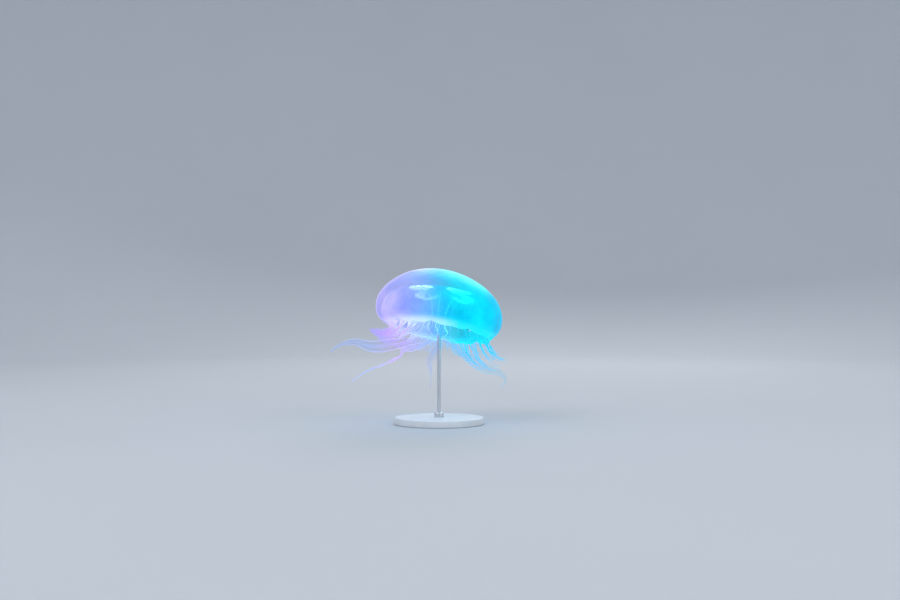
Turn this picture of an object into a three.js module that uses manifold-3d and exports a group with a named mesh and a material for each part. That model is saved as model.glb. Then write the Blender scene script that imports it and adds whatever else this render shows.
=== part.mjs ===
// A moon jellyfish (Aurelia), life size, at the end of a swimming stroke: the bell is drawn in, the
// fringe of tentacles streams out to both sides and the four oral arms trail below. A plain display
// stand holds it: a round base with one upright rod that ends inside the mouth.
// Millimetres, +Z up. The origin is the middle of the base's underside.

import * as THREE from 'three';
import { mergeVertices } from 'three/addons/utils/BufferGeometryUtils.js';
import Module from 'manifold-3d';

const wasm = await Module();
wasm.setup();

const { smoothstep } = THREE.MathUtils;
const DEG = Math.PI / 180;
const GAP = 0.3; // clearance between neighbouring pieces

// Where the bell hangs: the middle of its opening is straight above the middle of the base.
const RIM_HEIGHT = 129;
const LEAN_BACK = 11 * DEG;
const ROLL = 10 * DEG;

// Bell, in its own frame: the opening lies in the plane z = 0 and the top is on +z. Each face of
// its wall is widest at the waist, rises to the top as a dome and tucks in below to its edge.
const BELL = {
  radius: 90.5,
  waist: 27.3,
  rise: 61.5,
  domePower: 1.9, // a little more conical than an ellipse
  tuckPower: 2.6, // full below the waist, then turned in
  edgeRadius: 72.6,
  edgeHeight: 0,
};
const CAVITY = {
  radius: 81,
  waist: 24,
  rise: 37,
  domePower: 2.6,
  tuckPower: 2.4,
  edgeRadius: 67,
  edgeHeight: 2.5,
};
const LIP_DROP = 0.7; // the lip's lowest line, below the plane of the opening
const BELL_SEGMENTS = 40;
const BODY_DRIFT = -4.8; // sideways set of the bell's body over its opening
const TOP_DRIFT = -2.4; // and of the crown over the body
const CEILING_TILT = 0.045; // slope of the cavity's ceiling, higher towards +x
const BODY_TURN = -9 * DEG; // how far the four-part plan is turned about the bell's axis

// Margin: eight lappets with their tentacles, parted by the notches that hold the sense organs.
const LAPPETS = 8;
const MARGIN_HEIGHT = 9;
const NOTCH_DEPTH = 3.4;
const TENTACLES_PER_LAPPET = 6;
const TENTACLE_RING = 70; // radius of the circle that the tentacles grow from
const TENTACLE_ROOT_RADIUS = 1.1;
const TENTACLE_TIP_RADIUS = 0.5;
const SENSE_ORGAN_RADIUS = 1.2;

// Gonads: four horseshoes under the ceiling of the cavity, open towards the middle.
const GONADS = 4;
const GONAD_RING = 37; // from the bell's axis to the middle of each horseshoe
const GONAD_RADIUS = 14.5;
const GONAD_THICKNESS = 5.2;
const GONAD_OPENING = 70 * DEG;

// Mouth tube: radius and height of its outline, from the four-cornered mouth up to the ceiling.
const MOUTH_PROFILE = [
  [0, -4], [9.5, -4], [12, -2.5], [9.5, 8], [7.5, 24], [9, 40], [14, 52], [20, 59], [21, 64], [0, 64],
];
const MOUTH_SEGMENTS = 16;
const MOUTH_CORNERS = 0.2; // how far the four corners stand out, as a share of the radius

// Oral arms: the course of each from inside the mouth tube to its tip, half its widest width, how
// far along it is widest, and the way that its blade lies. Each is parted into three lengths.
const ARMS = {
  left: {
    course: [
      [-6, 0, 125], [-33, 3, 118], [-66, 9, 112], [-95, 12, 109], [-120, 10, 115.5],
      [-139, 4, 111.5], [-152, -2, 103],
    ],
    halfWidth: 8.4,
    widest: 0.5,
    blade: [0, 0.15, 1],
  },
  front: {
    course: [
      [-1, -7, 125], [-24, -21, 112], [-47, -31, 106], [-54, -37, 97], [-72, -43, 88],
      [-97, -48, 78], [-119, -53, 64],
    ],
    halfWidth: 6,
    widest: 0.35,
    blade: [0.2, 1, 0.45],
  },
  back: {
    course: [[2, 7, 122], [-3, 18, 109], [-9, 25, 98], [-14, 30, 86], [-12, 34, 72], [-13, 36, 49]],
    halfWidth: 6,
    widest: 0.4,
    blade: [0.5, 1, 0],
  },
  right: {
    course: [
      [7, 1, 122], [27, 5, 104], [44, 8, 91], [63, 10, 79.5], [83, 7, 73], [93.5, 4, 63], [88, 2, 51],
    ],
    halfWidth: 7,
    widest: 0.6,
    blade: [0.4, 0.2, 1],
  },
};
const ARM_HALF_THICKNESS = 1.7;
const ARM_ROOT_HALF_WIDTH = 4.6;
const ARM_TIP = 0.16; // share of the full width that is left at the tip
const ARM_PARTS = ['root', 'middle', 'tip'];

// Stand.
const BASE_RADIUS = 63;
const BASE_HEIGHT = 10;
const BASE_BEVEL = 1.2;
const ROD_RADIUS = 2.5;
const ROD_TOP = 133;
const COLLAR_RADIUS = 6.5;
const COLLAR_HEIGHT = 6;
const COLLAR_BEVEL = 1;

const FINISH = {
  jelly: new THREE.MeshStandardMaterial({ color: 0x8fc8f4, roughness: 0.25, metalness: 0 }),
  gonad: new THREE.MeshStandardMaterial({ color: 0xcdf0fb, roughness: 0.4, metalness: 0 }),
  eye: new THREE.MeshStandardMaterial({ color: 0x7f6aa6, roughness: 0.4, metalness: 0 }),
  arm: new THREE.MeshStandardMaterial({ color: 0x9aa4f2, roughness: 0.35, metalness: 0 }),
  base: new THREE.MeshStandardMaterial({ color: 0xe9edf0, roughness: 0.35, metalness: 0 }),
  steel: new THREE.MeshStandardMaterial({ color: 0xc4c9cd, roughness: 0.3, metalness: 1 }),
};

const group = new THREE.Group();
const animal = new THREE.Group();
animal.position.set(0, 0, RIM_HEIGHT);
animal.rotation.set(-LEAN_BACK, ROLL, 0, 'YXZ');
group.add(animal);
group.updateMatrixWorld(true);
const toBellFrame = animal.matrixWorld.clone().invert();

function addMesh(parent, name, geometry, material) {
  const mesh = new THREE.Mesh(geometry, material);
  mesh.name = name;
  parent.add(mesh);
}

function toSolid(geometry) {
  const bare = geometry.clone();
  bare.deleteAttribute('normal');
  bare.deleteAttribute('uv');
  const merged = mergeVertices(bare);
  const mesh = new wasm.Mesh({
    numProp: 3,
    vertProperties: new Float32Array(merged.attributes.position.array),
    triVerts: new Uint32Array(merged.index.array),
  });
  return new wasm.Manifold(mesh);
}

function toGeometry(solid) {
  const mesh = solid.getMesh();
  const geometry = new THREE.BufferGeometry();
  geometry.setAttribute('position', new THREE.BufferAttribute(mesh.vertProperties, 3));
  geometry.setIndex(new THREE.BufferAttribute(mesh.triVerts, 1));
  return geometry;
}

function moveVertices(geometry, move) {
  const position = geometry.attributes.position;
  const point = new THREE.Vector3();
  for (let i = 0; i < position.count; i += 1) {
    point.fromBufferAttribute(position, i);
    move(point);
    position.setXYZ(i, point.x, point.y, point.z);
  }
  return geometry;
}

// A body turned about +z from pairs of radius and height, listed from its bottom to its top.
function lathe(profile, segments) {
  const points = profile.map(([radius, height]) => new THREE.Vector2(radius, height));
  return new THREE.LatheGeometry(points, segments).rotateX(Math.PI / 2);
}

// A rounded bar that follows a curve between the shares `from` and `to` of its length. Its section
// is an ellipse whose wider half lies as near to `blade` as the curve lets it; `section` gives the
// half width and half thickness at each share of the whole curve.
function barAlong(curve, [from, to], steps, sides, blade, section) {
  const bar = new THREE.CylinderGeometry(1, 1, 1, sides, steps);
  return moveVertices(bar, (point) => {
    const share = from + (to - from) * (0.5 - point.y);
    const ahead = curve.getTangentAt(share);
    const across = blade.clone().addScaledVector(ahead, -blade.dot(ahead)).normalize();
    const through = new THREE.Vector3().crossVectors(ahead, across);
    const [halfWidth, halfThickness] = section(share);
    const widthwise = point.x * halfWidth;
    const depthwise = point.z * halfThickness;
    point.copy(curve.getPointAt(share));
    point.addScaledVector(across, widthwise).addScaledVector(through, depthwise);
  });
}

// ---------------------------------------------------------------- bell

// Where a superellipse stands, as a share of its height, at this share of its radius.
function superellipse(share, power) {
  return (1 - share ** power) ** (1 / power);
}

function domeHeight(wall, radius) {
  return wall.waist + wall.rise * superellipse(radius / wall.radius, wall.domePower);
}

// Profile of one face of the wall, from the edge of the opening up to the top.
function wallProfile(wall, tuckSteps, domeSteps) {
  const profile = [];
  const edgeShare = superellipse(wall.edgeRadius / wall.radius, wall.tuckPower);
  const fullDrop = (wall.waist - wall.edgeHeight) / edgeShare;
  for (let i = tuckSteps; i > 0; i -= 1) {
    const drop = (i / tuckSteps) * edgeShare;
    const radius = wall.radius * superellipse(drop, wall.tuckPower);
    profile.push([radius, wall.waist - fullDrop * drop]);
  }
  for (let i = 0; i < domeSteps; i += 1) {
    const angle = (Math.PI / 2) * (i / domeSteps);
    const radius = wall.radius * Math.cos(angle) ** (2 / wall.domePower);
    profile.push([radius, domeHeight(wall, radius)]);
  }
  profile.push([0, wall.waist + wall.rise]);
  return profile;
}

// The body sits a little to one side of its opening, and the crown a little further.
function drift(height) {
  return BODY_DRIFT * smoothstep(height, -2, 8) + TOP_DRIFT * smoothstep(height, 60, 85);
}

// The notches lift the edge of the opening where two lappets meet.
function notch(point) {
  const azimuth = Math.atan2(point.y, point.x) - BODY_TURN;
  const closeness = Math.abs(Math.cos((azimuth * LAPPETS) / 2));
  const nearEdge = 1 - smoothstep(point.z, 1, MARGIN_HEIGHT - 1);
  return NOTCH_DEPTH * nearEdge * closeness ** 10;
}

function shapeOuterFace(point) {
  point.z += notch(point);
  point.x += drift(point.z);
}

function tiltCeiling(point) {
  point.z += CEILING_TILT * point.x * smoothstep(point.z, 4, 30);
  point.x += drift(point.z);
}

function shapeInnerFace(point) {
  point.z += notch(point);
  tiltCeiling(point);
}

const outerProfile = [
  [0, -LIP_DROP], [BELL.edgeRadius - 1.4, -LIP_DROP], ...wallProfile(BELL, 4, 8),
];
const innerProfile = [
  [0, -MARGIN_HEIGHT], [CAVITY.edgeRadius + 3, -MARGIN_HEIGHT], [CAVITY.edgeRadius + 2, 0],
  ...wallProfile(CAVITY, 3, 8),
];
const outerBody = lathe(outerProfile, BELL_SEGMENTS).rotateZ(BODY_TURN);
const innerBody = lathe(innerProfile, BELL_SEGMENTS).rotateZ(BODY_TURN);
const wholeBell = toSolid(moveVertices(outerBody, shapeOuterFace))
  .subtract(toSolid(moveVertices(innerBody, shapeInnerFace)));

// A flat slab between two heights, wide enough to hold the whole bell.
function slab(low, high) {
  const box = new THREE.BoxGeometry(3 * BELL.radius, 3 * BELL.radius, high - low);
  return toSolid(box.translate(0, 0, (low + high) / 2));
}

const bellTop = BELL.waist + BELL.rise;
const dome = wholeBell.intersect(slab(MARGIN_HEIGHT + GAP / 2, bellTop + 1));
addMesh(animal, 'bell', toGeometry(dome), FINISH.jelly);

// ---------------------------------------------------------------- margin and tentacles

// The way one tentacle runs from its root at this azimuth. Those between the middle and the sides
// are longest and sweep outwards, least at the back left, and those in the middle are short and
// hang; `stray` makes neighbours differ.
class TentacleCurve extends THREE.Curve {
  constructor(azimuth, stray) {
    super();
    const side = Math.cos(azimuth);
    const flank = smoothstep(Math.abs(side), 0.15, 0.6) * (1 - 0.5 * smoothstep(Math.abs(side), 0.65, 1));
    const toLeft = smoothstep(-side, 0.05, 0.6);
    const toRight = smoothstep(side, 0.05, 0.6);
    const middle = 1 - toLeft - toRight;
    const backLeft = toLeft * smoothstep(Math.sin(azimuth), 0.1, 0.7);
    this.reach = 25 + 40 * flank * (1 - 0.5 * backLeft) + 5 * stray;
    this.startAngle = (12 + 8 * middle) * DEG;
    this.endAngle = (155 * toLeft + 88 * toRight + 60 * middle + 12 * stray) * DEG;
    this.bendPower = 1 + 0.6 * toRight + 1.4 * middle ** 2;
    this.outward = new THREE.Vector3(Math.tanh(3 * side - 0.5), 0.3 * Math.sin(azimuth), 0).normalize();
    this.root = new THREE.Vector3(Math.cos(azimuth), Math.sin(azimuth), 0).multiplyScalar(TENTACLE_RING);
    this.root.setZ(2.2).applyMatrix4(animal.matrixWorld);
  }

  getPoint(share, target = new THREE.Vector3()) {
    const pieces = 12;
    const length = (this.reach * share) / pieces;
    target.copy(this.root);
    for (let i = 0; i < pieces; i += 1) {
      const along = (share * (i + 0.5)) / pieces;
      const angle = this.startAngle + (this.endAngle - this.startAngle) * along ** this.bendPower;
      target.addScaledVector(this.outward, length * Math.sin(angle));
      target.z -= length * Math.cos(angle);
    }
    return target;
  }
}

function tentacle(azimuth, stray) {
  const curve = new TentacleCurve(azimuth, stray);
  const taper = TENTACLE_TIP_RADIUS - TENTACLE_ROOT_RADIUS;
  const section = (share) => {
    const radius = TENTACLE_ROOT_RADIUS + taper * share;
    return [radius, radius];
  };
  const bar = barAlong(curve, [0, 1], 6, 4, new THREE.Vector3(0, 1, 0.1), section);
  return toSolid(bar.applyMatrix4(toBellFrame));
}

// A wedge of the margin between two notches, clear of both by half a gap.
function wedge(middle) {
  const half = Math.PI / LAPPETS;
  const reach = 2 * BELL.radius;
  const inset = GAP / 2 / Math.sin(half);
  const outline = new THREE.Shape([
    new THREE.Vector2(inset, 0),
    new THREE.Vector2(inset + reach * Math.cos(half), -reach * Math.sin(half)),
    new THREE.Vector2(inset + reach * Math.cos(half), reach * Math.sin(half)),
  ]);
  const body = new THREE.ExtrudeGeometry(outline, { depth: 4 * MARGIN_HEIGHT, bevelEnabled: false });
  return toSolid(body.translate(0, 0, -2 * MARGIN_HEIGHT).rotateZ(middle));
}

const margin = wholeBell.intersect(slab(-MARGIN_HEIGHT, MARGIN_HEIGHT - GAP / 2));
const lappetSpan = (2 * Math.PI) / LAPPETS;
for (let i = 0; i < LAPPETS; i += 1) {
  const middle = BODY_TURN + (i + 0.5) * lappetSpan;
  let lappet = margin.intersect(wedge(middle));
  for (let j = 0; j < TENTACLES_PER_LAPPET; j += 1) {
    const place = (j + 0.5) / TENTACLES_PER_LAPPET - 0.5;
    const stray = Math.sin(2.4 * (i * TENTACLES_PER_LAPPET + j));
    lappet = lappet.add(tentacle(middle + 0.9 * place * lappetSpan, stray));
  }
  addMesh(animal, `margin_tentacles_${i + 1}`, toGeometry(lappet), FINISH.jelly);
}

// A small bulb hangs in each notch.
for (let i = 0; i < LAPPETS; i += 1) {
  const azimuth = BODY_TURN + i * lappetSpan;
  const bulb = new THREE.SphereGeometry(SENSE_ORGAN_RADIUS, 6, 4).rotateX(Math.PI / 2).scale(1, 1, 1.2);
  bulb.translate(TENTACLE_RING * Math.cos(azimuth), TENTACLE_RING * Math.sin(azimuth), 0.6);
  addMesh(animal, `sense_organ_${i + 1}`, bulb, FINISH.eye);
}

// ---------------------------------------------------------------- gonads

class HorseshoeCurve extends THREE.Curve {
  constructor(azimuth) {
    super();
    this.azimuth = azimuth;
  }

  getPoint(share, target = new THREE.Vector3()) {
    const turn = this.azimuth + Math.PI + GONAD_OPENING / 2 + share * (2 * Math.PI - GONAD_OPENING);
    const x = GONAD_RING * Math.cos(this.azimuth) + GONAD_RADIUS * Math.cos(turn);
    const y = GONAD_RING * Math.sin(this.azimuth) + GONAD_RADIUS * Math.sin(turn);
    target.set(x, y, domeHeight(CAVITY, Math.hypot(x, y)));
    tiltCeiling(target);
    target.z -= GONAD_THICKNESS / 2 + 2.5 * GAP;
    return target;
  }
}

for (let i = 0; i < GONADS; i += 1) {
  const curve = new HorseshoeCurve(BODY_TURN + ((i + 0.5) * 2 * Math.PI) / GONADS);
  const section = (share) => {
    const fullness = 0.55 + 0.45 * Math.sin(Math.PI * share) ** 0.5;
    return [(GONAD_THICKNESS / 2) * fullness, (GONAD_THICKNESS / 2) * fullness];
  };
  const ridge = barAlong(curve, [0, 1], 12, 6, new THREE.Vector3(0, 0, 1), section);
  addMesh(animal, `gonad_${i + 1}`, ridge, FINISH.gonad);
}

// ---------------------------------------------------------------- mouth tube

// The tube's body, grown all over by `extra`.
function mouthBody(extra) {
  const profile = MOUTH_PROFILE.map(([radius, height]) => {
    const low = height === MOUTH_PROFILE[0][1] ? extra : 0;
    return [radius === 0 ? 0 : radius + extra, height - low];
  });
  const body = lathe(profile, MOUTH_SEGMENTS).rotateZ(BODY_TURN);
  return toSolid(moveVertices(body, (point) => {
    const swell = 1 + MOUTH_CORNERS * Math.cos(4 * (Math.atan2(point.y, point.x) - BODY_TURN));
    point.x = point.x * swell + drift(point.z);
    point.y *= swell;
  }));
}

function cylinder(radius, low, high, segments) {
  return lathe([[0, low], [radius, low], [radius, high], [0, high]], segments);
}

// The room inside the bell, a gap clear of its ceiling.
const roomProfile = [
  [0, -MARGIN_HEIGHT], [CAVITY.edgeRadius, -MARGIN_HEIGHT],
  ...wallProfile({ ...CAVITY, rise: CAVITY.rise - GAP }, 3, 8),
];
const room = toSolid(moveVertices(lathe(roomProfile, BELL_SEGMENTS).rotateZ(BODY_TURN), tiltCeiling));
const rodRoom = cylinder(ROD_RADIUS + GAP, 0, ROD_TOP + GAP, 12).applyMatrix4(toBellFrame);
const mouthTube = mouthBody(0).intersect(room).subtract(toSolid(rodRoom));
addMesh(animal, 'mouth_tube', toGeometry(mouthTube), FINISH.jelly);

// ---------------------------------------------------------------- oral arms

const mouthRoom = toSolid(toGeometry(mouthBody(GAP)).applyMatrix4(animal.matrixWorld));

for (const [name, arm] of Object.entries(ARMS)) {
  const curve = new THREE.CatmullRomCurve3(arm.course.map((place) => new THREE.Vector3(...place)));
  const blade = new THREE.Vector3(...arm.blade).normalize();
  const halfCut = GAP / 2 / curve.getLength();
  const section = (share) => {
    const growth = (arm.halfWidth - ARM_ROOT_HALF_WIDTH) * smoothstep(share, 0, arm.widest);
    const slimness = 1 - (1 - ARM_TIP) * smoothstep(share, arm.widest, 1);
    return [(ARM_ROOT_HALF_WIDTH + growth) * slimness, ARM_HALF_THICKNESS * (1 - 0.6 * share)];
  };
  ARM_PARTS.forEach((part, i) => {
    const from = i === 0 ? 0 : i / ARM_PARTS.length + halfCut;
    const to = i === ARM_PARTS.length - 1 ? 1 : (i + 1) / ARM_PARTS.length - halfCut;
    const length = toSolid(barAlong(curve, [from, to], 5, 8, blade, section)).subtract(mouthRoom);
    addMesh(group, `oral_arm_${name}_${part}`, toGeometry(length), FINISH.arm);
  });
}

// ---------------------------------------------------------------- stand

const baseProfile = [
  [0, 0],
  [BASE_RADIUS - BASE_BEVEL, 0],
  [BASE_RADIUS, BASE_BEVEL],
  [BASE_RADIUS, BASE_HEIGHT - BASE_BEVEL],
  [BASE_RADIUS - BASE_BEVEL, BASE_HEIGHT],
  [0, BASE_HEIGHT],
];
addMesh(group, 'stand_base', lathe(baseProfile, 32), FINISH.base);

const rodFoot = BASE_HEIGHT + GAP;
addMesh(group, 'stand_rod', cylinder(ROD_RADIUS, rodFoot, ROD_TOP, 12), FINISH.steel);

const collarBore = ROD_RADIUS + GAP;
const collarProfile = [
  [collarBore, rodFoot],
  [COLLAR_RADIUS, rodFoot],
  [COLLAR_RADIUS, rodFoot + COLLAR_HEIGHT - COLLAR_BEVEL],
  [COLLAR_RADIUS - COLLAR_BEVEL, rodFoot + COLLAR_HEIGHT],
  [collarBore, rodFoot + COLLAR_HEIGHT],
  [collarBore, rodFoot],
];
addMesh(group, 'stand_collar', lathe(collarProfile, 16), FINISH.steel);

export default group;
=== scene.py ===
import math
import random

import bmesh
import bpy
from mathutils import Euler, Matrix, Vector, noise


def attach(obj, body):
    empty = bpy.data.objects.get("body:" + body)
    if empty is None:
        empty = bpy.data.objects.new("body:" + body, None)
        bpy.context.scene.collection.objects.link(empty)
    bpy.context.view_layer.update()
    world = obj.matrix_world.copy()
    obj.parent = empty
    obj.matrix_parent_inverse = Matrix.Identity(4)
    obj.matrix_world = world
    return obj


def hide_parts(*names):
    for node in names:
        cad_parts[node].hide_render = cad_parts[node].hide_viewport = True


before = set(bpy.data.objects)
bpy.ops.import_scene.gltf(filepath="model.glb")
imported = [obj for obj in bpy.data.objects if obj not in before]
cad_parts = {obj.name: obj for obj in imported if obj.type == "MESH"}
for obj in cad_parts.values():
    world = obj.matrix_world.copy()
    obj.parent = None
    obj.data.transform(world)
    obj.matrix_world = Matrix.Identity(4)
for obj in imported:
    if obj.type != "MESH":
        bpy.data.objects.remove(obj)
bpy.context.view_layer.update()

# ---------------------------------------- camera
# The jellyfish is seen from the side, level with its arms, from nearly two metres away, so that it
# fills only a small part of the picture.
CAMERA_PLACE = (0.01551, -1.7625, 0.17484)

camera_data = bpy.data.cameras.new("camera")
camera_data.sensor_width = 36
camera_data.lens = 50
camera = bpy.data.objects.new("camera", camera_data)
camera.location = CAMERA_PLACE
camera.rotation_euler = (math.radians(90), 0, 0)
bpy.context.scene.collection.objects.link(camera)
bpy.context.scene.camera = camera


# ---------------------------------------- floor
# A pale studio floor that curves up into a wall all round, painted one matt colour.
def from_srgb(red, green, blue):
    """A colour given in 0 to 255, as the shaders want it."""
    def straight(value):
        share = value / 255
        return share / 12.92 if share <= 0.04045 else ((share + 0.055) / 1.055) ** 2.4
    return (straight(red), straight(green), straight(blue), 1)


def new_material(name):
    material = bpy.data.materials.new(name)
    material.use_nodes = True
    return material, material.node_tree, material.node_tree.nodes["Principled BSDF"]


def add_node(tree, kind, inputs, **settings):
    """A node with its settings. Each input is a plain value or another node's output."""
    made = tree.nodes.new("ShaderNode" + kind)
    for name, value in settings.items():
        setattr(made, name, value)
    set_inputs(tree, made, inputs)
    return made


def set_inputs(tree, node, inputs):
    for name, value in inputs.items():
        if isinstance(value, bpy.types.NodeSocket):
            tree.links.new(value, node.inputs[name])
        else:
            node.inputs[name].default_value = value


def link(tree, kind, inputs, output=0, **settings):
    """The output of a new node."""
    return add_node(tree, kind, inputs, **settings).outputs[output]


def maths(tree, operation, first, second=0.0, third=0.0):
    return link(tree, "Math", {0: first, 1: second, 2: third}, operation=operation)


def times(tree, first, second):
    return maths(tree, "MULTIPLY", first, second)


def remap(tree, value, low, high, to_low, to_high, kind="SMOOTHSTEP"):
    return link(tree, "MapRange", {
        "Value": value, "From Min": low, "From Max": high, "To Min": to_low, "To Max": to_high,
    }, interpolation_type=kind)


def rescale(tree, value, low, high, to_low=0.0, to_high=1.0):
    return remap(tree, value, low, high, to_low, to_high, "LINEAR")


def ramp(tree, factor, stops):
    """A colour that runs from stop to stop: each is a place and a colour given in 0 to 255."""
    made = add_node(tree, "ValToRGB", {"Fac": factor})
    steps = made.color_ramp.elements
    while len(steps) < len(stops):
        steps.new(1)
    for step, (place, shade) in zip(steps, stops):
        step.position = place
        step.color = from_srgb(*shade)
    return made.outputs[0]


def mix_tints(tree, share, first, second, **settings):
    return link(tree, "MixRGB", {"Fac": share, "Color1": first, "Color2": second}, **settings)


def object_place(tree):
    return link(tree, "TexCoord", {}, "Object")


def fine_noise(tree, scale, detail=3.0, place=None):
    return link(tree, "TexNoise", {
        "Vector": place or object_place(tree), "Scale": scale, "Detail": detail,
    }, "Fac")


def streaky_noise(tree, place, stretch, detail):
    """A noise with its own scale along each axis, so that it makes streaks, folds or ribs."""
    stretched = link(tree, "Mapping", {"Vector": place, "Scale": stretch})
    return fine_noise(tree, 1.0, detail, stretched)


def spin_round(bm, line, steps, course=None):
    """A closed skin turned from a line of radius and height about the upright axis."""
    corners = [bm.verts.new((radius, 0, height)) for radius, height in line]
    if course:
        for i, corner in enumerate(corners):
            corner[course] = i / (len(line) - 1)
    edges = [bm.edges.new(pair) for pair in zip(corners, corners[1:])]
    bmesh.ops.spin(bm, geom=corners + edges, cent=(0, 0, 0), axis=(0, 0, 1), angle=2 * math.pi,
                   steps=steps, use_merge=True)
    bmesh.ops.remove_doubles(bm, verts=bm.verts, dist=0.001)
    bmesh.ops.recalc_face_normals(bm, faces=bm.faces)


def faces_of(corners):
    return {face for corner in corners for face in corner.link_faces}


def mesh_object(name, bm, *materials):
    """The finished mesh as an object at the origin."""
    mesh = bpy.data.meshes.new(name)
    bm.to_mesh(mesh)
    bm.free()
    for polygon in mesh.polygons:
        polygon.use_smooth = True
    for material in materials:
        mesh.materials.append(material)
    made = bpy.data.objects.new(name, mesh)
    bpy.context.scene.collection.objects.link(made)
    return made


FLOOR_RADIUS = 2.0
SWEEP_RADIUS = 1.7
WALL_TOP = 3.6
SWEEP_STEPS = 24
FLOOR_STEPS = 96

floor_line = [(0, 0), (FLOOR_RADIUS, 0)]
for i in range(1, SWEEP_STEPS + 1):
    angle = math.pi / 2 * i / SWEEP_STEPS
    floor_line.append((
        FLOOR_RADIUS + SWEEP_RADIUS * math.sin(angle),
        SWEEP_RADIUS * (1 - math.cos(angle)),
    ))
floor_line.append((FLOOR_RADIUS + SWEEP_RADIUS, WALL_TOP))

bm = bmesh.new()
spin_round(bm, floor_line, FLOOR_STEPS)
floor_paint, tree, surface = new_material("floor_paint")
set_inputs(tree, surface, {
    "Base Color": ramp(tree, fine_noise(tree, 1.4), [
        (0.3, (196, 201, 207)),
        (0.7, (198, 203, 209)),
    ]),
    "Roughness": 0.9, "Specular IOR Level": 0.1,
})
floor = mesh_object("floor", bm, floor_paint)

# ---------------------------------------- light
# Soft light from large panels: one above and to the left, a weaker one to the right, and one
# behind that shines through the jelly.
PANELS = [
    # name, place, aimed at, width, watts
    ("key", (-1.3, -1.6, 1.9), (0, 0, 0.15), 1.5, 20),
    ("fill", (1.7, -1.3, 1.2), (0, 0, 0.15), 1.5, 10),
    ("back", (0.4, 1.9, 1.5), (0, 0, 0.18), 1.5, 14),
]
for name, place, target, width, watts in PANELS:
    panel_data = bpy.data.lights.new(name, "AREA")
    panel_data.size = width
    panel_data.energy = watts
    panel = bpy.data.objects.new(name, panel_data)
    panel.location = place
    panel.rotation_euler = (Vector(target) - Vector(place)).to_track_quat("-Z", "Y").to_euler()
    bpy.context.scene.collection.objects.link(panel)

SKY_STRENGTH = 0.9

sky = bpy.data.worlds.new("studio")
sky.use_nodes = True
set_inputs(sky.node_tree, sky.node_tree.nodes["Background"], {
    "Color": from_srgb(238, 243, 250), "Strength": SKY_STRENGTH,
})
bpy.context.scene.world = sky
bpy.context.scene.view_settings.view_transform = "Standard"
bpy.context.scene.cycles.transparent_max_bounces = 64

# ---------------------------------------- bell
# The bell is one thick wall of clear, slightly milky jelly. It rises to a dome, tucks in below its
# waist and ends in a rounded lip of eight lappets, with a notch between each two. The room under
# it is open below. One skin makes the outer face, the lip and the ceiling of the room.
MM = 0.001
RIM_HEIGHT = 129  # millimetres from here on, in the bell's own frame: its opening at z = 0
LEAN_BACK = math.radians(-11)
ROLL = math.radians(10)
BODY_TURN = math.radians(-9)
LAPPETS = 8
TO_WORLD = Matrix.Scale(MM, 4)
POSE = (
    TO_WORLD
    @ Matrix.Translation((0, 0, RIM_HEIGHT))
    @ Euler((LEAN_BACK, ROLL, 0)).to_matrix().to_4x4()
)

OUTER = {"radius": 90.3, "waist": 27.3, "rise": 61.2, "dome": 1.9, "tuck": 2.6,
         "edge_radius": 72.4, "edge_height": 0.1}
INNER = {"radius": 81.1, "waist": 24, "rise": 37.2, "dome": 2.6, "tuck": 2.4,
         "edge_radius": 67.2, "edge_height": 2.7}
LIP = [(68.2, 1.2), (69.0, 0.1), (70.0, -0.5), (71.0, -0.6), (71.8, -0.3)]
BELL_STEPS = 240
TUCK_STEPS = 14
DOME_STEPS = 38
NOTCH_DEPTH = 3.4
NOTCH_SHARPNESS = 10
DIP_DEPTH = 0.9  # in the middle of each lappet
DIP_SHARPNESS = 24
BODY_DRIFT = -4.8  # how far the body leans off its axis, and between which heights
BODY_DRIFTS = (-2, 8)
TOP_DRIFT = -2.4
TOP_DRIFTS = (60, 85)
CEILING_TILT = 0.045
MUSCLE_RIDGES = 72
MUSCLE_DEPTH = 0.35
FLESH_WOBBLE = 0.7
WHITE = (1, 1, 1, 1)
# A painted rim light along the left edge of the bell.
PAINTED_RIM_LIGHT = from_srgb(228, 212, 255)


def smoothstep(value, low, high):
    share = min(max((value - low) / (high - low), 0), 1)
    return share * share * (3 - 2 * share)


def on_ring(radius, azimuth, height=0.0):
    return Vector((radius * math.cos(azimuth), radius * math.sin(azimuth), height))


def superellipse(share, power):
    return max(1 - share ** power, 0) ** (1 / power)


def dome_height(wall, radius):
    return wall["waist"] + wall["rise"] * superellipse(radius / wall["radius"], wall["dome"])


def wall_line(wall):
    """One face of the wall as radius and height, from the lip up to the axis."""
    edge_share = superellipse(wall["edge_radius"] / wall["radius"], wall["tuck"])
    full_drop = (wall["waist"] - wall["edge_height"]) / edge_share
    points = []
    for i in range(TUCK_STEPS, 0, -1):
        drop = i / TUCK_STEPS * edge_share
        radius = wall["radius"] * superellipse(drop, wall["tuck"])
        points.append((radius, wall["waist"] - full_drop * drop))
    for i in range(DOME_STEPS):
        angle = math.pi / 2 * i / DOME_STEPS
        radius = wall["radius"] * math.cos(angle) ** (2 / wall["dome"])
        points.append((radius, dome_height(wall, radius)))
    points.append((0, wall["waist"] + wall["rise"]))
    return points


def drift(height):
    return (BODY_DRIFT * smoothstep(height, *BODY_DRIFTS)
            + TOP_DRIFT * smoothstep(height, *TOP_DRIFTS))


def notch(point):
    azimuth = math.atan2(point.y, point.x) - BODY_TURN
    closeness = abs(math.cos(azimuth * LAPPETS / 2))
    bilobe = abs(math.sin(azimuth * LAPPETS / 2))
    near_edge = 1 - smoothstep(point.z, 1, 8)
    return near_edge * (NOTCH_DEPTH * closeness ** NOTCH_SHARPNESS
                        + DIP_DEPTH * bilobe ** DIP_SHARPNESS)


def tilt_ceiling(point):
    point.z += CEILING_TILT * point.x * smoothstep(point.z, 4, 30)
    point.x += drift(point.z)


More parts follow.
